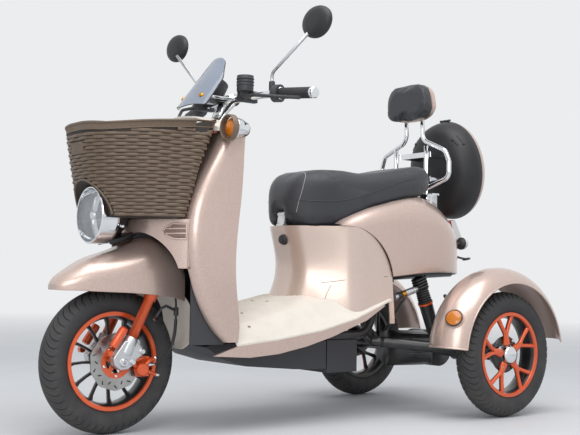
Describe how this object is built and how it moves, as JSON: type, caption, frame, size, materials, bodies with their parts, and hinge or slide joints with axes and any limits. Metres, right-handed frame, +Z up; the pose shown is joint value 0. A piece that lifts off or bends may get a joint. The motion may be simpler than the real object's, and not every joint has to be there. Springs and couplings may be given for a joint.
{
  "type": "electric three wheeled scooter",
  "caption": "Electric step-through scooter with a steered front wheel, a wide rear axle, a front basket, a hinged saddle, a backrest and an upright rear trunk.",
  "frame": {"origin": "on the ground under the middle of the whole machine", "axes": "+X is the vehicle's left, -Y its front, +Z up"},
  "size_m": [0.8682, 1.733, 1.2547],
  "materials": {
    "chrome": "bright chrome",
    "vinyl": "black grained vinyl",
    "wicker": "brown moulded weave",
    "black_metal": "satin black paint",
    "black_plastic": "black moulded plastic",
    "orange": "orange paint",
    "steel": "brushed steel",
    "alloy": "cast aluminium",
    "cream": "pale cream moulded plastic",
    "champagne": "metallic champagne rose gold lacquer",
    "amber": "amber lens",
    "tyre": "moulded black tyre rubber with side lugs",
    "grip": "black ribbed grip rubber",
    "clear": "clear lens",
    "mirror": "mirror glass in a black shell",
    "red_lens": "red lens",
    "smoke": "grey blue tinted screen"
  },
  "bodies": {
    "chassis": {"backrest_frame": "chrome", "backrest_pad": "vinyl", "basket": "wicker", "battery_case": "black_metal", "belly_pan": "black_plastic", "floor_board": "cream", "front_signal_lenses": "amber", "front_signals": "chrome", "head_frame": "black_metal", "headlamp_bucket": "chrome", "headlamp_lens": "clear", "inner_panel": "cream", "leg_shield": "champagne", "mudguard_stays": "black_metal", "nose_panel": "champagne", "rack_plate": "black_metal", "rail_frame": "black_metal", "rear_axle": "alloy", "rear_mudguard_left": "champagne", "rear_mudguard_right": "champagne", "saddle_bracket": "steel", "seat_base": "champagne", "shield_crown": "champagne", "shocks": "black_metal", "side_skirts": "champagne", "storage_tub": "black_plastic", "swing_arms": "black_metal", "tail_cover": "champagne", "tail_lamp": "red_lens", "trunk_base": "black_plastic", "trunk_straps": "chrome", "wheel_tunnel": "champagne"},
    "steering": {"fork": "black_metal", "front_axle": "black_metal", "brake_caliper": "orange", "front_fender": "champagne", "mudflap": "cream", "handlebar": "chrome", "grips": "grip", "switch_housings": "black_plastic", "reservoirs": "black_plastic", "brake_levers": "alloy", "mirrors": "mirror", "speedometer": "chrome", "windscreen": "smoke", "screen_rods": "chrome", "brake_hose": "black_plastic"},
    "front_wheel": {"front_tyre": "tyre", "front_rim": "black_metal", "brake_disc": "steel"},
    "rear_wheel_left": {"rear_tyre_left": "tyre", "rear_rim_left": "black_metal"},
    "rear_wheel_right": {"rear_tyre_right": "tyre", "rear_rim_right": "black_metal"},
    "seat": {"saddle": "vinyl"},
    "lid": {"trunk_lid": "champagne"}
  },
  "joints": [
    {"name": "steering", "type": "hinge", "parent": "chassis", "child": "steering", "pos_m": [0, -0.66401, 0.2025], "axis": [0, 0.4431, 0.8965], "range_deg": [-35, 35]},
    {"name": "front_wheel_spin", "type": "hinge", "parent": "steering", "child": "front_wheel", "pos_m": [0, -0.66401, 0.2025], "axis": [1, 0, 0], "continuous": true},
    {"name": "rear_left_spin", "type": "hinge", "parent": "chassis", "child": "rear_wheel_left", "pos_m": [0.355, 0.58799, 0.2025], "axis": [1, 0, 0], "continuous": true},
    {"name": "rear_right_spin", "type": "hinge", "parent": "chassis", "child": "rear_wheel_right", "pos_m": [-0.355, 0.58799, 0.2025], "axis": [1, 0, 0], "continuous": true},
    {"name": "seat_hinge", "type": "hinge", "parent": "chassis", "child": "seat", "pos_m": [0, -0.05701, 0.642], "axis": [1, 0, 0], "range_deg": [0, 75]},
    {"name": "lid_hinge", "type": "hinge", "parent": "chassis", "child": "lid", "pos_m": [0, 0.6826, 1.01802], "axis": [1, 0, 0], "range_deg": [0, 80]}
  ]
}
